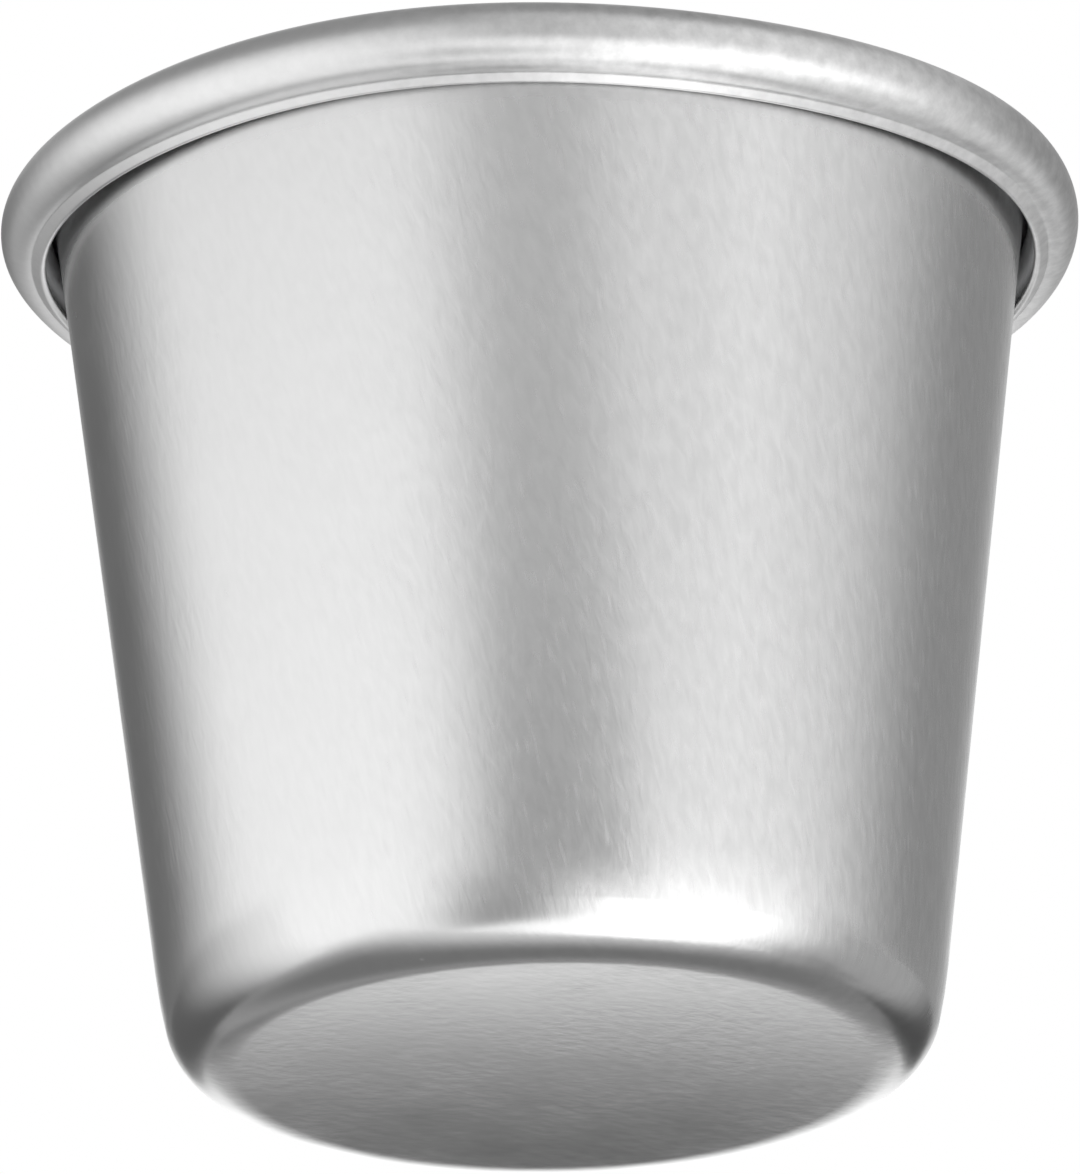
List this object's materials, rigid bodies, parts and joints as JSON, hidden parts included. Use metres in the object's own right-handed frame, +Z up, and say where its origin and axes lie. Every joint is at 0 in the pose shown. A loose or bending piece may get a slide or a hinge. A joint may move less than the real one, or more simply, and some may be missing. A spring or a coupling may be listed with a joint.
{
  "type": "baba mould",
  "caption": "Tapered round baking mould of drawn sheet metal with a slightly dished base, a rounded base corner and an outward rolled rim stiffened by wire.",
  "frame": {"origin": "centre of the plane that the mould stands on, under the middle of the dished base", "axes": "+Z up along the axis of revolution, from the base to the open mouth; +X and +Y lie in the standing plane, with the wire's cut ends on the +Y side"},
  "size_m": [0.065, 0.065, 0.055],
  "materials": {
    "satin_steel": "satin sheet steel, faintly scuffed by use",
    "drawn_wire": "drawn wire, dull"
  },
  "bodies": {
    "root": {"drawn_cup": "satin_steel", "rim_wire": "drawn_wire"}
  },
  "joints": []
}
